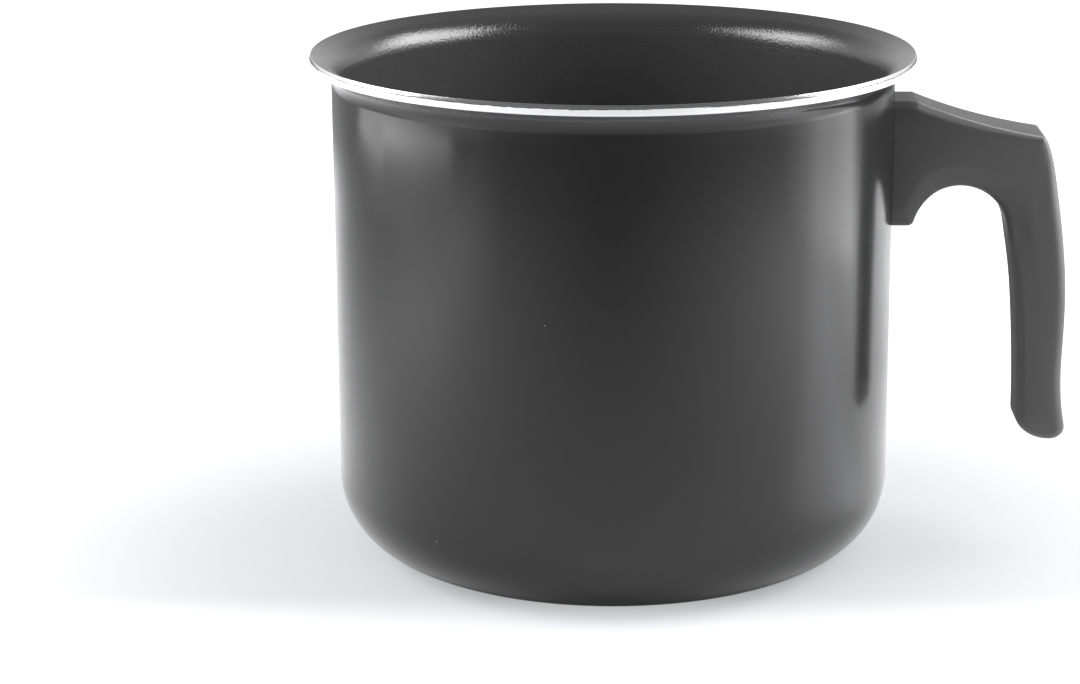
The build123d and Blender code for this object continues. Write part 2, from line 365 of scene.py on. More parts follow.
def handle_outline():
    """Points round the handle, in mm as (x, z), and the number of the first point of each stretch."""
    def placed(shares, reach, top, bottom):
        return [(OUTER_RADIUS + reach * across, top + (bottom - top) * down) for across, down in shares]

    bottom = HANDLE_TOP - HANDLE_HEIGHT
    back_x = OUTER_RADIUS - BACK_REACH
    flat_end = (OUTER_RADIUS + ARM_FLAT, HANDLE_TOP)
    arm_middle, arm_end = placed([ARM_MIDDLE_SHARES, ARM_END_SHARES], HANDLE_REACH,
                                 HANDLE_TOP, HANDLE_TOP - ARM_DEPTH)
    arch_end = (ARCH_CENTRE[0] + ARCH_RADIUS * math.cos(ARCH_END_ANGLE),
                ARCH_CENTRE[1] + ARCH_RADIUS * math.sin(ARCH_END_ANGLE))
    toe_centre = (OUTER_RADIUS + HANDLE_REACH - TOE_RADIUS, bottom + TOE_RADIUS)
    toe = arc(toe_centre, TOE_RADIUS, math.degrees(TOE_FLARE), -90, TOE_STEPS)
    heel_top = (OUTER_RADIUS + FINGER_GAP, bottom + HEEL_RISE)
    heel_middle = (toe[-1][0] - (toe[-1][0] - heel_top[0]) * HEEL_FULLNESS,
                   heel_top[1] - HEEL_RISE * HEEL_FULLNESS)
    outer = smooth_curve([arm_end] + placed(OUTER_EDGE_SHARES, HANDLE_REACH, arm_end[1], bottom) + [toe[0]],
                         ARM_END_FALL, (math.sin(TOE_FLARE), -math.cos(TOE_FLARE)), SPACING)
    inner = smooth_curve([heel_top] + placed(INNER_EDGE_SHARES, FINGER_GAP, arch_end[1], bottom) + [arch_end],
                         (0, 1), (-math.sin(ARCH_END_ANGLE), math.cos(ARCH_END_ANGLE)), SPACING)
    foot_bottom = ARCH_CENTRE[1] + ARCH_RADIUS * (1 - FOOT_DROP_SHARE)
    corner_z = foot_bottom + FOOT_CORNER_RADIUS
    lift = math.degrees(math.asin((corner_z - ARCH_CENTRE[1]) / (ARCH_RADIUS + FOOT_CORNER_RADIUS)))
    corner_x = ARCH_CENTRE[0] - (ARCH_RADIUS + FOOT_CORNER_RADIUS) * math.cos(math.radians(lift))
    rises = np.arange(BACK_SPACING, HANDLE_TOP - foot_bottom, BACK_SPACING)
    stretches = {
        "top": [(x, HANDLE_TOP) for x in np.linspace(back_x, OUTER_RADIUS + TOP_START, TOP_POINTS)],
        "arm": arc_through(flat_end, arm_middle, arm_end, ARM_STEPS),
        "outer": outer,
        "toe": toe,
        "heel": smooth_curve([toe[-1], heel_middle, heel_top], (-1, 0), (0, 1), HEEL_SPACING),
        "inner": inner,
        "arch": arc(ARCH_CENTRE, ARCH_RADIUS, math.degrees(ARCH_END_ANGLE), 180 - lift, ARCH_STEPS),
        "foot": arc((corner_x, corner_z), FOOT_CORNER_RADIUS, -lift, -90, FOOT_STEPS),
        "sole": [(x, foot_bottom) for x in np.linspace(OUTER_RADIUS + SOLE_END, back_x, SOLE_POINTS)],
        "back": [(back_x, foot_bottom + rise) for rise in rises],
    }
    points, starts = [], {}
    for name, stretch in stretches.items():
        starts[name] = len(points)
        for q in stretch:
            if not points or math.dist(points[-1], q) > SAME_POINT:
                points.append(q)
    starts["end"] = len(points)
    return points, starts


outline, outline_starts = handle_outline()
print("Points in the handle's outline:", len(outline), outline_starts)

# %% [markdown]
# ## The handle's sides
# Along the arm's top the moulding has a crisp edge with a flat facet beside it. Down the outside of
# the grip that edge softens into a rounding, the finger side is rounded too, and a wide, shallow
# bevel runs round the arch and the foot. A bevel or an inset can't go round the toe and the foot's
# corner, which are tighter than these are deep. So each side is made as a relief: how far it stands
# out depends on how far in from the outline a point lies. Points are laid in rows at set distances,
# joined to triangles inside the outline, and then raised.

# %% Sizes of the handle's edges, in mm
# Each soft edge is a width, a slope, how far its rounding reaches in, and how far that drops.
SIDE_STAND = HANDLE_WIDTH / 2
CROWN = 0.18
CROWN_REACH = 3.2
BEVEL_BLEND = 1.2
ARCH_EDGE = np.array([6.2, 0.40, 1.6, 1.6])
FOOT_EDGE = np.array([3.8, 0.40, 1.6, 1.6])
FINGER_EDGE = np.array([6.2, 0.14, 1.9, 4.0])
OUTER_EDGE = np.array([6.2, 0.0, 3.0, 2.8])
CRISP_DEPTH_SHARE = 1.59
FACET_SHARE = 0.667
EDGE_ROWS = [(0.0, -0.45), (0.03, -0.22), (0.11, -0.02), (0.24, 0.15), (0.42, 0.34)]
DEEP_ROW_SHARES = (0.035, 0.08, 0.14, 0.21, 0.28, 0.42, 0.56, 0.70, 0.82, 0.91, 1.0)
CROWN_ROWS = (0.8, 1.7, 2.7)
GRID_PITCH = 2.0
GRID_MARGIN = 0.8
ROW_FIT = 0.96
CORNER_CUT = 0.75
CORNER_POINTS = 6
AT_WALL = 3
GRIP_SOFTENS = (12, 34)
ARCH_BLEND = (-9, 8)
FOOT_BLEND = (5, 11)
TOP_STAND_START, TOP_STAND_END, GRIP_LOSS = 7.4, 8.4, 0.6
TOP_WIDENS_FROM = 4
TOP_WIDENS_POWER = 1.5
GRIP_NARROWS = (9, 26)


# %% Where the outline is crisp, and how wide its top stays
def round_corner(points, number, size):
    """Replaces one corner of the outline by a short curve."""
    before, corner, after = (np.array(points[number + k], float) for k in (-1, 0, 1))
    start = corner + (before - corner) / np.linalg.norm(before - corner) * size
    end = corner + (after - corner) / np.linalg.norm(after - corner) * size
    return [tuple(start * (1 - t) ** 2 + corner * 2 * t * (1 - t) + end * t * t)
            for t in np.linspace(0, 1, CORNER_POINTS)]


def ramp(value, low, high):
    t = np.clip((value - low) / (high - low), 0, 1)
    return t * t * (3 - 2 * t)


arm_end_number = outline_starts["outer"] - 1
corner_points = round_corner(outline, arm_end_number, CORNER_CUT)
ring = np.array(outline[:arm_end_number] + corner_points + outline[arm_end_number + 1:], float)
added = len(corner_points) - 1
toe_start, heel_start = outline_starts["toe"] + added, outline_starts["heel"] + added
count = len(ring)
numbers = np.arange(count)
down = HANDLE_TOP - ring[:, 1]
crispness = np.where(numbers > arm_end_number, 1 - ramp(down, *GRIP_SOFTENS), 1)
crispness[numbers >= toe_start] = 0
at_wall = ring[:, 0] < OUTER_RADIUS + AT_WALL
crispness[at_wall] = np.where(down[at_wall] < AT_WALL, 1, 0)
past_toe = ramp(numbers, toe_start, heel_start)
on_fingers = np.clip(past_toe - ramp(ring[:, 1], *(ARCH_CENTRE[1] + rise for rise in ARCH_BLEND)), 0, 1)
outside = (numbers > arm_end_number) * (1 - past_toe)
on_foot = ramp(ARCH_CENTRE[0] - ring[:, 0], *FOOT_BLEND) * (numbers >= outline_starts["arch"] + added)
edge_shape = ARCH_EDGE + (FOOT_EDGE - ARCH_EDGE) * on_foot[:, None]
edge_shape += (FINGER_EDGE - edge_shape) * on_fingers[:, None]
edge_shape += (OUTER_EDGE - edge_shape) * outside[:, None]
arm_end_x = ring[arm_end_number, 0]
along_arm = ramp(ring[:, 0], OUTER_RADIUS + TOP_WIDENS_FROM, arm_end_x)
top_stand = TOP_STAND_START + (TOP_STAND_END - TOP_STAND_START) * along_arm ** TOP_WIDENS_POWER
down_grip = ramp(down, *GRIP_NARROWS)
top_stand = np.where(numbers > arm_end_number, TOP_STAND_END - GRIP_LOSS * down_grip, top_stand)
print("Half width of the top, mm:", round(top_stand[4], 2), "to", round(top_stand[arm_end_number], 2))


# %% Distance from the outline
NO_LENGTH, NO_RISE = 1e-9, 1e-6


def nearest_on_outline(points):
    """For each point, its distance to the outline and the place along it, as a point number and a share."""
    start, end = ring, np.roll(ring, -1, axis=0)
    run = end - start
    best = np.full(len(points), np.inf)
    place = np.zeros(len(points))
    for i in range(count):
        away = points - start[i]
        share = np.clip(away @ run[i] / max(run[i] @ run[i], NO_LENGTH), 0, 1)
        distance = np.linalg.norm(away - share[:, None] * run[i], axis=1)
        closer = distance < best
        best[closer] = distance[closer]
        place[closer] = i + share[closer]
    return best, place


def along(values, place):
    low = np.floor(place).astype(int) % count
    share = place - np.floor(place)
    return values[low] * (1 - share) + values[(low + 1) % count] * share


def edge_depth(place):
    crisp = along(crispness, place)
    rise = SIDE_STAND - CROWN - along(top_stand, place)
    return crisp * CRISP_DEPTH_SHARE * rise + (1 - crisp) * (along(edge_shape[:, 0], place) + BEVEL_BLEND)


def soft_bevel(distance, place):
    """How far below the side a wide, shallow bevel with a rounded rim lies."""
    width, slope, reach, drop = (along(values, place) for values in edge_shape.T)
    tail = np.clip(width + BEVEL_BLEND - distance, 0, None) ** 2 / (4 * BEVEL_BLEND)
    below = slope * np.where(distance < width - BEVEL_BLEND, width - distance, tail)
    return below + drop * (1 - np.sqrt(1 - (1 - np.clip(distance / reach, 0, 1)) ** 2))


def stand_out(distance, place):
    """How far the side stands from the middle plane, in mm."""
    shoulder = SIDE_STAND - CROWN
    crisp, start = along(crispness, place), along(top_stand, place)
    rise = shoulder - start
    depth = edge_depth(place)
    facet = FACET_SHARE * rise
    bend = np.clip((distance - facet) / np.maximum(CRISP_DEPTH_SHARE * rise - facet, NO_RISE), 0, 1)
    pull = (1 - FACET_SHARE) / (CRISP_DEPTH_SHARE - FACET_SHARE)
    t = (-pull + np.sqrt(pull ** 2 + (1 - 2 * pull) * bend)) / (1 - 2 * pull)
    curved = start + rise * (FACET_SHARE + (1 - FACET_SHARE) * t * (2 - t))
    edge = start + np.interp(distance, *zip(*EDGE_ROWS))
    flat = start + distance - (EDGE_ROWS[-1][0] - EDGE_ROWS[-1][1])
    flat = np.where(distance < EDGE_ROWS[-1][0], edge, flat)
    blend = ramp(distance, EDGE_ROWS[-1][0], facet)
    flat = flat * (1 - blend) + (start + distance) * blend
    crisp_stand = np.where(distance < facet, flat, curved)
    soft = shoulder - soft_bevel(distance, place)
    crown = 1 - (1 - np.clip((distance - depth) / CROWN_REACH, 0, 1)) ** 2
    return crisp * crisp_stand + (1 - crisp) * soft + CROWN * crown


# %% Lay the rows and join them
WIDE_ROOM = 30.0
NO_ROOM = 1e-4


def inward_normals():
    run = np.roll(ring, -1, axis=0) - ring
    run /= np.linalg.norm(run, axis=1)[:, None]
    mean = run + np.roll(run, 1, axis=0)
    mean /= np.linalg.norm(mean, axis=1)[:, None]
    return np.stack([mean[:, 1], -mean[:, 0]], axis=1)


def room_inside(normals):
    """Radius of the largest circle that touches the outline from inside at each of its points."""
    room = np.full(count, WIDE_ROOM)
    for i in range(count):
        away = np.delete(ring, i, axis=0) - ring[i]
        ahead = away @ normals[i]
        near = ahead > NO_ROOM
        if near.any():
            room[i] = min(room[i], ((away[near] ** 2).sum(1) / (2 * ahead[near])).min())
    return room


normals = inward_normals()
room = room_inside(normals)
depths = edge_depth(numbers.astype(float))
rows = [np.full(count, d) for d, _ in EDGE_ROWS[1:]]
rows += [EDGE_ROWS[-1][0] + (depths - EDGE_ROWS[-1][0]) * share for share in DEEP_ROW_SHARES]
rows += [depths + more for more in CROWN_ROWS]
sheet_points = [tuple(q) for q in ring]
for row in rows:
    fits = row < room * ROW_FIT
    sheet_points += [tuple(q) for q in (ring + normals * row[:, None])[fits]]
low_x, low_z = ring.min(0)
high_x, high_z = ring.max(0)
grid = np.array([(x, z) for x in np.arange(low_x, high_x, GRID_PITCH)
                 for z in np.arange(low_z, high_z, GRID_PITCH)])


def is_inside(x, z):
    """An odd number of the outline's edges to the point's right means inside."""
    crossings = 0
    for (x0, z0), (x1, z1) in zip(np.roll(ring, 1, axis=0), ring):
        if (z0 > z) != (z1 > z) and x < (x0 - x1) * (z - z1) / (z0 - z1) + x1:
            crossings += 1
    return crossings % 2 == 1


far, grid_place = nearest_on_outline(grid)
inside = np.array([is_inside(x, z) for x, z in grid])
keep = inside & (far > edge_depth(grid_place) + CROWN_ROWS[-1] + GRID_MARGIN)
sheet_points += [tuple(q) for q in grid[keep]]
print("Points in one side of the handle:", len(sheet_points))

# %% Raise one side, mirror it and bridge the two
ONLY_INSIDE = 1
SAME_PLACE, ON_OUTLINE = 1e-4, 1e-3
WALL_CUTS = 5
joined = delaunay_2d_cdt([Vector(q) for q in sheet_points], [], [list(range(count))], ONLY_INSIDE, SAME_PLACE)
flat_array, flat_faces = np.array([tuple(q) for q in joined[0]]), joined[2]
side_distance, side_place = nearest_on_outline(flat_array)
side_distance[side_distance < ON_OUTLINE] = 0
stand = stand_out(side_distance, side_place)
mesh = bpy.data.meshes.new("handle_moulding")
mesh.from_pydata([(x * MM, -y * MM, z * MM) for (x, z), y in zip(flat_array, stand)], [], flat_faces)
moulding = bpy.data.objects.new("handle_moulding", mesh)
bpy.context.collection.objects.link(moulding)
apply_modifier(moulding, "MIRROR", use_axis=(False, True, False), use_mirror_merge=False)
bpy.ops.object.mode_set(mode="EDIT")
bpy.ops.mesh.select_mode(type="EDGE")
bpy.ops.mesh.select_all(action="DESELECT")
bpy.ops.mesh.select_non_manifold()
bpy.ops.mesh.bridge_edge_loops(number_cuts=WALL_CUTS, interpolation="LINEAR")
bpy.ops.mesh.select_all(action="SELECT")
bpy.ops.mesh.normals_make_consistent(inside=False)
bpy.ops.object.mode_set(mode="OBJECT")
print("Handle before cutting:", triangles(moulding), "triangles")


# %% Note on each point its edge, its painted highlight and its painted light
# Painted highlight down the grip's outer edge, fading downwards.
OUTER_HIGHLIGHT = 0.6
OUTER_HIGHLIGHT_REACH = (0.8, 2.6)
OUTER_HIGHLIGHT_LOSS = 0.7
OUTER_HIGHLIGHT_FADES = (26, 62)
# Depths of the dull finger side, which is also painted paler as painted light.
DULL_AND_LIGHT_DEPTHS = (1.6, 0.8)


def note_edges(piece):
    """Stores for each point where the nearest top edge is, how crisp it is, its painted highlight, and where
    it is dull and painted paler.
    """
    x, out, z = np.array([v.co for v in piece.data.vertices]).T / MM
    distance, place = nearest_on_outline(np.stack([x, z], axis=1))
    fade = 1 - OUTER_HIGHLIGHT_LOSS * ramp(HANDLE_TOP - z, *OUTER_HIGHLIGHT_FADES)
    painted_lift = OUTER_HIGHLIGHT * along(outside, place) * (1 - ramp(distance, *OUTER_HIGHLIGHT_REACH)) * fade
    flank = 1 - ramp(abs(out), *(SIDE_STAND - depth for depth in DULL_AND_LIGHT_DEPTHS))
    notes = {"edge_stand": along(top_stand, place), "edge_crispness": along(crispness, place),
             "outer_edge_highlight": painted_lift, "dull_and_painted_light_inside": along(on_fingers, place) * flank}
    for name, values in notes.items():
        piece.data.attributes.new(name, "FLOAT", "POINT").data.foreach_set("value", values)


# %% [markdown]
# ## The foot, the pocket and the screw's hole
# The moulding stands on the wall by a hollow of the wall's own radius. Behind it is a stepped
# pocket for the bracket, and a hole with a sunk seat leads to the screw. They are cut with plain
# shapes, as a drill and a slotting tool would cut them.

# %% Cut the moulding
SEAT_CLEARANCE = 0.05
SCREW_HEIGHT = 103.0244
POCKET_WIDTH = 12.6
FLANGE_POCKET = (76.2, 24.9516)
FACE_POCKET = (80.75, 9.7516)
SCREW_HOLE_RADIUS = 2.3
COUNTERBORE_RADIUS = 4.8
COUNTERBORE_FLOOR = 104.4
COUNTERBORE_SIDES = 64
HOLE_END = 125
WALL_SIDES = 512
WALL_CUTTER_HEIGHT = 200
WALL_CUTTER_MIDDLE = 80
HANDLE_SMOOTH_ANGLE = 30


def wall_cutter():
    deselect()
    bpy.ops.mesh.primitive_cylinder_add(
        vertices=WALL_SIDES, radius=(OUTER_RADIUS + SEAT_CLEARANCE) * MM,
        depth=WALL_CUTTER_HEIGHT * MM, location=(0, 0, WALL_CUTTER_MIDDLE * MM))
    return bpy.context.object


def pocket_cutter(floor, height):
    deselect()
    start = OUTER_RADIUS - OVERRUN
    bpy.ops.mesh.primitive_cube_add(size=1, location=((start + floor) / 2 * MM, 0, SCREW_HEIGHT * MM),
                                    scale=((floor - start) * MM, POCKET_WIDTH * MM, height * MM))
    bpy.ops.object.transform_apply(location=False, rotation=False, scale=True)
    return bpy.context.object


cut(moulding, wall_cutter(), pocket_cutter(*FLANGE_POCKET), pocket_cutter(*FACE_POCKET),
    rod_cutter(SCREW_HOLE_RADIUS, OUTER_RADIUS, HOLE_END, SCREW_HEIGHT, HOLE_SIDES),
    rod_cutter(COUNTERBORE_RADIUS, COUNTERBORE_FLOOR, HOLE_END, SCREW_HEIGHT, COUNTERBORE_SIDES))
note_edges(moulding)
settle(moulding, HANDLE_SMOOTH_ANGLE)
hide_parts("handle")
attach(moulding, "root")
print("Handle after cutting:", triangles(moulding), "triangles")

# %% [markdown]
# ## Effects that several finishes share
# Three things recur on this pan: the fine unevenness of anything sprayed or moulded, the rings that
# a lathe tool leaves in bare metal, and a little dust. Each is built once as a group of nodes that
# gives out heights and masks, and every material places it with its own sizes.


# %% A short way to build node groups
def new_group(name, inputs, outputs):
    group = bpy.data.node_groups.new(name, "ShaderNodeTree")
    for label, default in inputs:
        socket = group.interface.new_socket(name=label, in_out="INPUT", socket_type="NodeSocketFloat")
        socket.default_value = default
    for label in outputs:
        group.interface.new_socket(name=label, in_out="OUTPUT", socket_type="NodeSocketFloat")
    return group, group.nodes.new("NodeGroupInput"), group.nodes.new("NodeGroupOutput")


def give_out(group, out, *results):
    for result, socket in zip(results, out.inputs):
        group.links.new(result, socket)
    return group


def add(tree, kind, links=(), **values):
    """Adds a shader node, sets its properties and inputs, and links sockets to it."""
    node = tree.nodes.new("ShaderNode" + kind)
    for name, value in values.items():
        if name == "inputs":
            for key, number in value.items():
                node.inputs[key].default_value = number
        else:
            setattr(node, name, value)
    for key, socket in dict(links).items():
        tree.links.new(socket, node.inputs[key])
    return node


def object_place(tree):
    return add(tree, "TexCoord").outputs["Object"]


def axes(tree):
    return add(tree, "SeparateXYZ", {0: object_place(tree)}).outputs


def maths(tree, operation, *terms):
    node = add(tree, "Math", operation=operation)
    for socket, term in zip(node.inputs, terms):
        if isinstance(term, (int, float)):
            socket.default_value = term
        else:
            tree.links.new(term, socket)
    return node.outputs[0]


def times(tree, first, *others):
    for other in others:
        first = maths(tree, "MULTIPLY", first, other)
    return first


def step(tree, value, low, high, to_low=0.0, to_high=1.0):
    return add(tree, "MapRange", {0: value}, interpolation_type="SMOOTHSTEP", clamp=True,
               inputs={1: low, 2: high, 3: to_low, 4: to_high}).outputs[0]


# %% Sprayed grain: a fine peel and a slower swell
def noise(tree, place, size_mm):
    scale = maths(tree, "DIVIDE", 1 / MM, size_mm)
    return add(tree, "TexNoise", {"Vector": place, "Scale": scale},
               inputs={"Detail": 2.0, "Roughness": 0.5}).outputs[0]


def build_sprayed_grain():
    group, given, out = new_group(
        "sprayed_grain", [("Grain size mm", 0.5), ("Swell size mm", 6.0), ("Swell share", 0.3)],
        ["Height", "Cloud"])
    place = object_place(group)
    fine, slow = (noise(group, place, size) for size in given.outputs[:2])
    height = maths(group, "ADD", fine, times(group, slow, given.outputs[2]))
    return give_out(group, out, height, slow)


# %% Lathe rings: fine grooves about the pot's axis
def build_lathe_rings():
    group, given, out = new_group("lathe_rings", [("Pitch mm", 0.12)], ["Height", "Radius"])
    x, y, z = axes(group)
    radius = maths(group, "SQRT", maths(group, "ADD", times(group, x, x), times(group, y, y)))
    travel_mm = times(group, maths(group, "SUBTRACT", radius, z), 1 / MM)
    lines = add(group, "TexNoise", {"W": maths(group, "DIVIDE", travel_mm, given.outputs[0])},
                noise_dimensions="1D", inputs={"Scale": 1.0, "Detail": 3.0, "Roughness": 0.6})
    return give_out(group, out, lines.outputs[0], times(group, radius, 1 / MM))


# %% Dust: a few pale specks
CLEAN_SHARE = 0.75


def build_dust():
    group, given, out = new_group("dust_specks", [("Spacing mm", 7.0), ("Size share", 0.02)], ["Mask"])
    scale = maths(group, "DIVIDE", 1 / MM, given.outputs[0])
    cells = add(group, "TexVoronoi", {"Vector": object_place(group), "Scale": scale})
    pick = add(group, "SeparateColor", {0: cells.outputs["Color"]})
    size = times(group, given.outputs[1], pick.outputs[0])
    near = maths(group, "LESS_THAN", cells.outputs["Distance"], size)
    few = maths(group, "GREATER_THAN", pick.outputs[1], CLEAN_SHARE)
    return give_out(group, out, times(group, near, few))


SPRAYED_GRAIN = build_sprayed_grain()
LATHE_RINGS = build_lathe_rings()
DUST = build_dust()
print("Shared effects:", [g.name for g in (SPRAYED_GRAIN, LATHE_RINGS, DUST)])


# %% Starting a material, and placing a shared effect in it
CLOUD_SPAN = (0.3, 0.7)


def new_material(name, **sockets):
    material = bpy.data.materials.new(name)
    material.use_nodes = True
    tree = material.node_tree
    shader = tree.nodes["Principled BSDF"]
    for label, value in sockets.items():
        shader.inputs[label.replace("_", " ")].default_value = value
    return material, tree, shader


def drive(tree, shader, **sockets):
    """Links sockets of the shader to what the nodes work out for them."""
    for label, socket in sockets.items():
        tree.links.new(socket, shader.inputs[label.replace("_", " ")])


def dress(piece, *materials):
    piece.data.materials.clear()
    for material in materials:
        piece.data.materials.append(material)


def place_group(tree, group, **values):
    node = add(tree, "Group", node_tree=group)
    for label, value in values.items():
        node.inputs[label.replace("_", " ").capitalize()].default_value = value
    return node.outputs


def bump(tree, shader, height, depth_mm):
    node = add(tree, "Bump", {"Height": height}, inputs={"Strength": 1.0, "Distance": depth_mm * MM})
    drive(tree, shader, Normal=node.outputs[0])


def grained(tree, shader, size_mm, swell_mm, swell_share, depth_mm=None):
    """Places the sprayed grain and, if a depth is given, raises the surface by it."""
    height, cloud = place_group(tree, SPRAYED_GRAIN, grain_size_mm=size_mm, swell_size_mm=swell_mm,
                                swell_share=swell_share)
    if depth_mm is not None:
        bump(tree, shader, height, depth_mm)
    return height, cloud


def clouded(tree, cloud, low, high):
    """Drifts from low to high with the grain's slow cloud."""
    return step(tree, cloud, *CLOUD_SPAN, low, high)


def mix(tree, mask, low, high):
    """Mixes two colours by a mask. Either may be a colour or a socket."""
    node = add(tree, "Mix", {0: mask}, data_type="RGBA")
    for number, value in ((6, low), (7, high)):
        if isinstance(value, bpy.types.NodeSocket):
            tree.links.new(value, node.inputs[number])
        else:
            node.inputs[number].default_value = (*value, 1)
    return node.outputs[2]


def mottled(tree, mask, colour, share):
    """The colour where the mask is dark, and a share of it where the mask is bright."""
    return mix(tree, mask, colour, tuple(c * share for c in colour))


# %% [markdown]
# ## Finishes of the pot
# Outside, the aluminium is under a dark grey lacquer with a gloss coat: smooth enough to mirror the
# room, rough enough to blur it, and painted paler in the bend under the lip as painted light. The lip's
# upper side and the inside carry the sprayed non-stick coat, faintly grained and painted darker on the lip
# than inside as painted shade.
# At the rim and under the base a tool has cut back to bright metal, and between the rim's two
# facets it has left a thin, broken line of coat.

# %% Greys of the pot and where they start
# Under the lip the painted light starts by the radius in mm, and the painted shade on the lip by the height
# in m.
LACQUER_GREY = (0.009, 0.009, 0.0095)
LACQUER_LIFT = 1.12
LACQUER_ROUGHNESS = (0.21, 0.25)
# Painted light: the lacquer in the bend under the lip is given a paler grey.
UNDER_LIP_PAINTED_LIGHT_GREY = (0.058, 0.058, 0.059)
UNDER_LIP_LIGHT_STARTS = (73.3, 74.2)
COAT_GREY = (0.040, 0.040, 0.0405)
COAT_LIFT = 1.2
# Painted shade: the coat on the lip is given a darker grey than inside.
LIP_PAINTED_SHADE_GREY = (0.031, 0.031, 0.0315)
LIP_SHADE_STARTS = (0.1225, 0.127)
DUST_GREY = (0.22, 0.22, 0.225)
BARE_METAL = (0.91, 0.915, 0.92)
GROOVE_SHADE = 0.9
NOISE_MIDDLE = 0.5
RESIDUE_HEIGHT = POT_HEIGHT - RIM_BEVEL_HEIGHT + RIDGE_HALF
RESIDUE_HALF = 0.13
RESIDUE_FADE = 0.04
RESIDUE_RAGGEDNESS = 0.5
RESIDUE_BREAKS = (0.36, 0.46)


# %% Lacquer, non-stick coat and bare metal
def dusted(tree, shade, spacing_mm, size_share):
    dust = place_group(tree, DUST, spacing_mm=spacing_mm, size_share=size_share)
    return mix(tree, dust["Mask"], shade, DUST_GREY)


def lacquer():
    material, tree, shader = new_material("dark_lacquer", Roughness=0.24, IOR=1.46, Specular_IOR_Level=0.28,
                                          Coat_Weight=0.5, Coat_Roughness=0.14, Coat_IOR=1.5)
    cloud = grained(tree, shader, size_mm=0.9, swell_mm=9.0, swell_share=1.2, depth_mm=0.004)[1]
    # Painted light: paler grey where the radius passes into the bend under the lip.
    under_lip = step(tree, place_group(tree, LATHE_RINGS, pitch_mm=0.5)["Radius"], *UNDER_LIP_LIGHT_STARTS)
    shade = mix(tree, under_lip, mottled(tree, cloud, LACQUER_GREY, LACQUER_LIFT), UNDER_LIP_PAINTED_LIGHT_GREY)
    drive(tree, shader, Base_Color=dusted(tree, shade, spacing_mm=7.0, size_share=0.035),
          Roughness=clouded(tree, cloud, *LACQUER_ROUGHNESS))
    return material


def nonstick():
    material, tree, shader = new_material("nonstick_coat", Roughness=0.21, IOR=1.6)
    cloud = grained(tree, shader, size_mm=0.58, swell_mm=5.0, swell_share=0.5, depth_mm=0.10)[1]
    # Painted shade: the lip above its bend is darker.
    on_lip_shade = step(tree, axes(tree)[2], *LIP_SHADE_STARTS)
    shade = mix(tree, on_lip_shade, mottled(tree, cloud, COAT_GREY, COAT_LIFT), LIP_PAINTED_SHADE_GREY)
    drive(tree, shader, Base_Color=dusted(tree, shade, spacing_mm=5.0, size_share=0.04))
    return material


def turned_metal(name, pitch_mm, groove_mm, roughness, bareness):
    """Bare aluminium as a lathe tool leaves it, with a broken line of coat between the rim's facets."""
    material, tree, shader = new_material(name)
    grooves = place_group(tree, LATHE_RINGS, pitch_mm=pitch_mm)["Height"]
    bump(tree, shader, grooves, groove_mm)
    peel, cloud = grained(tree, shader, size_mm=1.6, swell_mm=22.0, swell_share=0.0)
    height = maths(tree, "SUBTRACT", times(tree, axes(tree)[2], 1 / MM), RESIDUE_HEIGHT)
    uneven = maths(tree, "SUBTRACT", peel, NOISE_MIDDLE)
    away = maths(tree, "ABSOLUTE", maths(tree, "ADD", height, times(tree, uneven, RESIDUE_RAGGEDNESS)))
    line = step(tree, away, RESIDUE_HALF - RESIDUE_FADE, RESIDUE_HALF + RESIDUE_FADE, 1.0, 0.0)
    residue = times(tree, line, step(tree, cloud, *RESIDUE_BREAKS))
    metal = mix(tree, grooves, tuple(c * GROOVE_SHADE for c in BARE_METAL), BARE_METAL)
    drive(tree, shader, Base_Color=mix(tree, residue, metal, COAT_GREY),
          Metallic=step(tree, residue, 0.0, 1.0, bareness, 0.0),
          Roughness=clouded(tree, cloud, *roughness))
    return material


# %% Give each part of the pot its finish
LACQUERED, COATED, RIM_FOOT, RIM_TOP, UNDER_BASE = range(5)
RIM_MARGINS = (0.12, 0.05)
BASE_MARGINS = (0.1, 0.01)
INSIDE_MARGINS = (0.6, 0.2)
LIP_FROM = 120
LOOKS_UP, LIES_FLAT = 0.05, 0.5


def pot_finish(centre, normal):
    """Which finish a face has, by where it lies and how it looks. Margins are in mm, outwards and up."""
    radius = math.hypot(centre.x, centre.y)
    if radius > rim_top_x - RIM_MARGINS[0] and centre.z > rim_foot_z - RIM_MARGINS[1]:
        return RIM_TOP if centre.z > POT_HEIGHT - RIM_BEVEL_HEIGHT else RIM_FOOT
    flat_radius = OUTER_RADIUS - BASE_CORNER_RADIUS
    if radius < flat_radius + BASE_MARGINS[0] and centre.z < GROOVE_DEPTH + BASE_MARGINS[1]:
        return UNDER_BASE
    if centre.z > LIP_FROM and normal.z > LOOKS_UP:
        return COATED
    looks_in = centre.x * normal.x + centre.y * normal.y < 0 or normal.z > LIES_FLAT
    within = radius < INNER_RADIUS + INSIDE_MARGINS[0] and centre.z > BASE_THICKNESS - INSIDE_MARGINS[1]
    return COATED if within and looks_in else LACQUERED


POT_FINISHES = [
    lacquer(), nonstick(),
    turned_metal("turned_aluminium", pitch_mm=0.14, groove_mm=0.006, roughness=(0.50, 0.60), bareness=0.4),
    turned_metal("faced_aluminium", pitch_mm=0.10, groove_mm=0.002, roughness=(0.16, 0.22), bareness=1.0),
    turned_metal("ringed_base_aluminium", pitch_mm=0.45, groove_mm=0.03, roughness=(0.26, 0.36),
                 bareness=1.0)]
dress(pot, *POT_FINISHES)
for face in pot.data.polygons:
    face.material_index = pot_finish(face.center / MM, face.normal)
print("Faces by finish:", np.bincount([f.material_index for f in pot.data.polygons]))

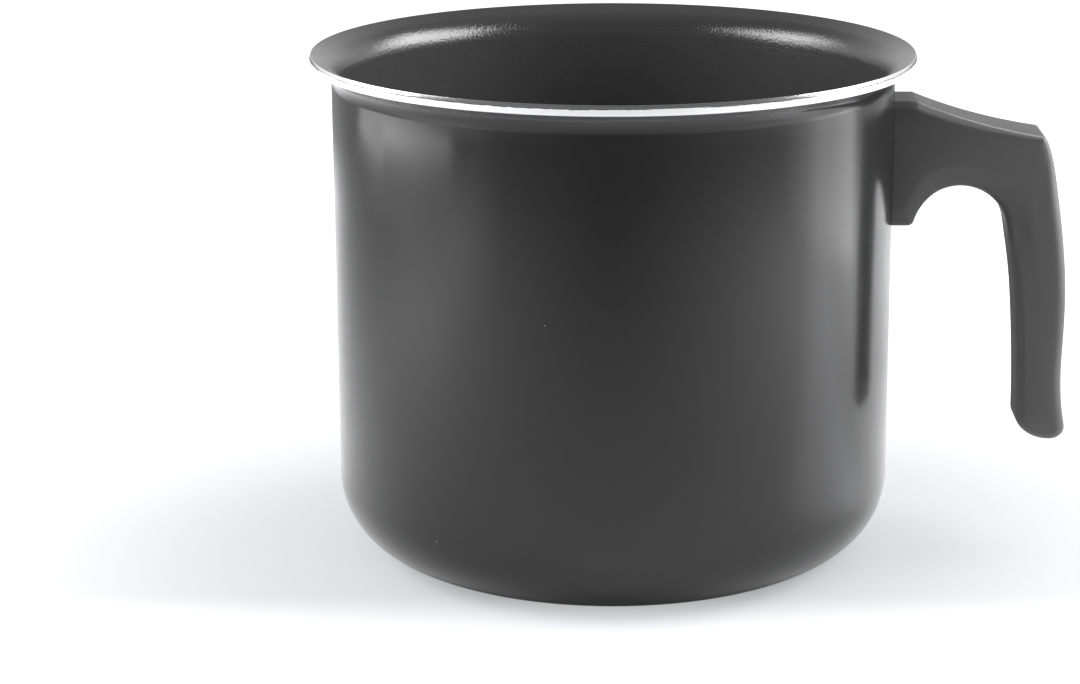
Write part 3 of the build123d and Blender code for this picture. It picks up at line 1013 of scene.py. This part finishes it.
# %% [markdown]
# ## The handle's moulding and the metal pieces
# The moulding is a hard, heat-proof resin: dark grey, satin, with a faint grain. It is painted darker
# towards the foot as painted shade. The finger side is dull and painted paler as painted light, the
# grip's outer edge carries a painted highlight, and the arm's top edges a thin painted highlight
# line. Rivets are soft aluminium, and the bracket, screw and washers are zinc plated steel, a little
# cloudy.

# %% Greys of the resin and where painted light and shade go
# Distances from the pot's middle are in m, and the painted highlight line's two sides in mm past the edge.
# Painted shade: the first grey darkens the resin towards the foot.
RESIN_FOOT_SHADE = (0.034, 0.034, 0.0345)
RESIN_DARK = (0.051, 0.051, 0.0517)
RESIN_LIGHT = (0.058, 0.058, 0.0588)
# Painted highlight: the pale grey of the edge lines, also used for the finger side's painted light.
RESIN_PAINTED_HIGHLIGHT = (0.17, 0.17, 0.172)
RESIN_ROUGHNESS = (0.47, 0.55)
FOOT_SHADE_REACH = (0.070, 0.108)
TOP_HIGHLIGHT_FROM = (0.076, 0.080)
TOP_HIGHLIGHT_ON_TOP = (-1.1, -0.5)
TOP_HIGHLIGHT_ON_SIDE = (0.0, 0.35)
TOP_HIGHLIGHT_SPAN = (0.65, 1.05)
TOP_HIGHLIGHT_LEAST = 0.3
# Painted light: the finger side is given a paler grey as well as a duller finish.
FINGER_PAINTED_LIGHT = 0.46
DULL_ROUGHNESS = 0.35


# %% Moulded resin
def noted(tree, name):
    return add(tree, "Attribute", attribute_name=name).outputs["Fac"]


def top_edge_highlight(tree, unevenness):
    """Mask of the painted highlight line between top and side."""
    x, y = axes(tree)[:2]
    out = times(tree, maths(tree, "ABSOLUTE", y), 1 / MM)
    past = maths(tree, "SUBTRACT", out, noted(tree, "edge_stand"))
    line = times(tree, step(tree, past, *TOP_HIGHLIGHT_ON_TOP), step(tree, past, *TOP_HIGHLIGHT_ON_SIDE, 1.0, 0.0))
    on_arm = times(tree, noted(tree, "edge_crispness"), step(tree, x, *TOP_HIGHLIGHT_FROM))
    return times(tree, line, on_arm, step(tree, unevenness, *TOP_HIGHLIGHT_SPAN, TOP_HIGHLIGHT_LEAST, 1.0))


def moulded_resin():
    material, tree, shader = new_material("moulded_resin", Roughness=0.5, IOR=1.5, Specular_IOR_Level=0.5)
    height, cloud = grained(tree, shader, size_mm=0.35, swell_mm=12.0, swell_share=0.8, depth_mm=0.006)
    shade = mix(tree, cloud, RESIN_DARK, RESIN_LIGHT)
    # Painted shade: darker towards the foot, by distance from the pot's middle.
    clear_of_foot_shade = step(tree, axes(tree)[0], *FOOT_SHADE_REACH)
    shade = mix(tree, clear_of_foot_shade, RESIN_FOOT_SHADE, shade)
    dull_and_painted_light_inside = noted(tree, "dull_and_painted_light_inside")
    painted_lift = maths(tree, "MAXIMUM", noted(tree, "outer_edge_highlight"), times(tree, dull_and_painted_light_inside, FINGER_PAINTED_LIGHT))
    # Painted highlight along the arm's top edges, joined with the other painted light.
    painted_light = maths(tree, "MAXIMUM", top_edge_highlight(tree, height), painted_lift)
    satin = clouded(tree, cloud, *RESIN_ROUGHNESS)
    drive(tree, shader, Base_Color=mix(tree, painted_light, shade, RESIN_PAINTED_HIGHLIGHT),
          Roughness=maths(tree, "ADD", satin, times(tree, dull_and_painted_light_inside, DULL_ROUGHNESS)))
    return material


dress(moulding, moulded_resin())


# %% Plated steel and rivet metal
METAL_SHADE = 0.85


def plain_metal(name, colour, roughness, size_mm, swell_mm):
    material, tree, shader = new_material(name, Metallic=1.0)
    cloud = grained(tree, shader, size_mm, swell_mm, swell_share=1.0, depth_mm=0.004)[1]
    shade = mix(tree, cloud, tuple(c * METAL_SHADE for c in colour), colour)
    drive(tree, shader, Base_Color=shade, Roughness=clouded(tree, cloud, *roughness))
    return material


METALS = {
    "rivet_aluminium": (
        plain_metal("rivet_metal", (0.80, 0.805, 0.81), (0.25, 0.36), size_mm=0.25, swell_mm=3.0),
        ("upper_rivet", "lower_rivet")),
    "zinc_plated_sheet": (
        plain_metal("plated_sheet", (0.62, 0.63, 0.65), (0.33, 0.44), size_mm=0.4, swell_mm=6.0),
        ("handle_bracket",)),
    "zinc_plated_fastener": (
        plain_metal("plated_fastener", (0.66, 0.67, 0.69), (0.21, 0.32), size_mm=0.2, swell_mm=2.0),
        ("handle_screw", "spring_washer", "plain_washer")),
}
for slot, (material, names) in METALS.items():
    for name in names:
        dress(nodes[name], material)
        print(name, "is finished in", material.name)

# %% [markdown]
# ## The studio
# A glossy dark pot is lit by what it mirrors. So the room is plain: a pale floor, soft lights at both
# sides and overhead, a white wall behind and nothing bright in front. Two low, narrow strips at the
# left are the bright patch on the wall, and the light overhead isn't mirrored at all. The floor has
# tones that only a mirror sees. The camera sees floor and wall as white. The floor keeps the pot's
# soft shadow, and its glow to the camera is weaker and bluish near the pot, a painted shadow round
# it, and stronger just in front, painted light over the contact shadow.

# %% Floor
# Places are in m. A reach is where a tone starts and ends, and keeps is the light left at its start.
FLOOR_HALF = 2.0
FLOOR_WHITE = (0.80, 0.80, 0.81)
FLOOR_TO_CAMERA = 0.35
# Painted shadow: the camera glow is weaker and bluish near the pot. Painted light: more glow just in front.
PAINTED_SHADOW_TINT = (0.955, 0.97, 1.0, 1.0)
PAINTED_SHADOW_REACH, PAINTED_SHADOW_GLOW = (0.08, 0.30), (0.42, 1.0)
FRONT_PAINTED_LIGHT_REACH, FRONT_PAINTED_LIGHT = (-0.075, -0.045), 0.26
UNDER_POT = (0, 0, 0)
FRONT_CENTRE, FRONT_REACH, FRONT_KEEPS = (0, -0.5, 0), (0.0, 0.50), (0.18, 0.86)
RING_REACH, RING_GAIN = (0.20, 0.36), 1.2
EDGE_REACH, EDGE_KEEPS = (0.44, 0.60), 0.35
LEFT_CENTRE, LEFT_REACH, LEFT_KEEPS = (-0.375, 0.17, 0), (0.05, 0.34), 0.42
RIGHT_CENTRE, RIGHT_REACH, RIGHT_KEEPS = (0.20, 0.25, 0), (0.08, 0.25), 0.72
BAND_Y, BAND_REACH, BAND_FROM, BAND_LIGHT = -0.035, (0.02, 0.06), (0.10, 0.13), 0.62
SPOT_CENTRE, SPOT_REACH, SPOT_LIGHT = (-0.425, -0.285, 0), (0.03, 0.14), 0.75


def distance_to(tree, spot, centre):
    node = add(tree, "VectorMath", {0: spot}, operation="DISTANCE", inputs={1: centre})
    return node.outputs["Value"]


def floor_material():
    """White and glowing to the camera, with a painted shadow round the pot and painted light just in front,
    and toned where a mirror sees it.

    In a mirror it is darker near the camera, at its edge and behind the pot at both sides, and
    lighter in a ring, a band and a spot."""
    material, tree, shader = new_material("pale_floor", Roughness=0.9, Specular_IOR_Level=0.0,
                                          Emission_Color=PAINTED_SHADOW_TINT)
    path = add(tree, "LightPath").outputs
    spot = object_place(tree)
    x, y = add(tree, "SeparateXYZ", {0: spot}).outputs[:2]
    away, to_front, to_left, to_right, to_spot = (
        distance_to(tree, spot, centre)
        for centre in (UNDER_POT, FRONT_CENTRE, LEFT_CENTRE, RIGHT_CENTRE, SPOT_CENTRE))
    ahead = add(tree, "MapRange", {0: to_front},
                inputs=dict(enumerate((*FRONT_REACH, *FRONT_KEEPS), 1))).outputs[0]
    around = times(tree, step(tree, away, *RING_REACH, 1.0, RING_GAIN),
                   step(tree, away, *EDGE_REACH, 1.0, EDGE_KEEPS))
    kept = times(tree, ahead, around, step(tree, to_left, *LEFT_REACH, LEFT_KEEPS, 1.0),
                 step(tree, to_right, *RIGHT_REACH, RIGHT_KEEPS, 1.0))
    mirrored = times(tree, path["Is Glossy Ray"], maths(tree, "SUBTRACT", 1.0, kept))
    toned_down = times(tree, path["Is Camera Ray"], 1 - FLOOR_TO_CAMERA)
    # Painted shadow round the pot and painted light in front, in the glow the camera sees.
    painted_glow = maths(tree, "ADD", step(tree, away, *PAINTED_SHADOW_REACH, *PAINTED_SHADOW_GLOW),
                 step(tree, y, *FRONT_PAINTED_LIGHT_REACH, FRONT_PAINTED_LIGHT, 0.0))
    off_band = maths(tree, "ABSOLUTE", maths(tree, "SUBTRACT", y, BAND_Y))
    band = times(tree, step(tree, off_band, *BAND_REACH, BAND_LIGHT, 0.0), step(tree, x, *BAND_FROM))
    lit = maths(tree, "ADD", band, step(tree, to_spot, *SPOT_REACH, SPOT_LIGHT, 0.0))
    darkening = maths(tree, "ADD", mirrored, toned_down)
    drive(tree, shader, Base_Color=mix(tree, darkening, FLOOR_WHITE, (0, 0, 0)),
          Emission_Strength=maths(tree, "ADD", times(tree, path["Is Camera Ray"], painted_glow),
                                  times(tree, path["Is Glossy Ray"], lit)))
    return material


deselect()
bpy.ops.mesh.primitive_plane_add(size=2 * FLOOR_HALF, location=(0, 0, 0))
floor = bpy.context.object
floor.name = "floor"
dress(floor, floor_material())

# %% Room
# A turn is how far a direction leans back or up, from -1 to 1.
ROOM_TURN, ROOM_SPAN = (-0.15, 0.45), (0.14, 1.0)
CEILING_TURN, CEILING_KEEPS = (0.15, 0.80), 0.14
FILL_TURN, FILL_SPAN = (-0.6, 0.6), (0.80, 0.90)


def room_light():
    """White to the camera, dark in front and overhead to a mirror, nearly even to dull surfaces."""
    world = bpy.data.worlds.new("room")
    bpy.context.scene.world = world
    world.use_nodes = True
    tree = world.node_tree
    background = tree.nodes["Background"]
    turn = add(tree, "TexCoord").outputs["Generated"]
    back, up = add(tree, "SeparateXYZ", {0: turn}).outputs[1:]
    path = add(tree, "LightPath").outputs
    behind = times(tree, step(tree, back, *ROOM_TURN, *ROOM_SPAN),
                   step(tree, up, *CEILING_TURN, 1.0, CEILING_KEEPS))
    fill = times(tree, maths(tree, "SUBTRACT", 1.0, path["Is Glossy Ray"]),
                 step(tree, back, *FILL_TURN, *FILL_SPAN))
    plain = maths(tree, "ADD", times(tree, behind, path["Is Glossy Ray"]), fill)
    unseen = maths(tree, "SUBTRACT", 1.0, path["Is Camera Ray"])
    strength = maths(tree, "ADD", path["Is Camera Ray"], times(tree, plain, unseen))
    drive(tree, background, Strength=strength)
    background.inputs["Color"].default_value = (1, 1, 1, 1)


room_light()


# %% Soft lights
def soft_light(name, place, aim, size, radiance, spread=180, roll=0.0):
    """A flat soft light. It shows its radiance straight ahead and fades to the sides of its spread."""
    deselect()
    bpy.ops.object.light_add(type="AREA", location=place)
    light = bpy.context.object
    light.name = name
    light.data.shape = "RECTANGLE"
    light.data.size, light.data.size_y = size
    half = math.radians(spread) / 2
    straight = 1 if spread == 180 else math.tan(half) / (math.tan(half) - half)
    light.data.spread = math.radians(spread)
    light.data.energy = radiance / straight * math.pi * size[0] * size[1]
    light.rotation_euler = (Vector(aim) - Vector(place)).to_track_quat("-Z", "Y").to_euler()
    light.rotation_euler.rotate_axis("Z", math.radians(roll))
    light.visible_camera = False
    return light


soft_light("left_light", (-0.424, 0.000, 0.245), (0, -0.054, 0.245), (0.25, 0.32), 5.0)
soft_light("left_back_strip", (-0.3342, 0.0902, 0.0595), (0.6458, -0.1098, 0.0595), (0.108, 0.014), 5.0,
           spread=100, roll=-4.0)
soft_light("left_front_strip", (-0.3703, -0.0867, 0.0546), (0.6097, -0.2867, 0.0546), (0.253, 0.0115), 7.8,
           roll=-3.5)
soft_light("right_light", (0.302, -0.076, 0.1775), (0.1166, -0.151, 0.1775), (0.266, 0.285), 3.0, spread=82)
soft_light("upper_left_light", (-0.55, 0.00, 0.44), (0, 0, 0.10), (0.60, 0.26), 6.2)
soft_light("upper_right_light", (0.60, 0.08, 0.47), (0, 0, 0.10), (0.62, 0.38), 10.5)
top_light = soft_light("top_light", (0.45, 0.35, 0.90), (0.05, 0, 0.05), (0.4, 0.5), 2.5)
top_light.visible_glossy = False
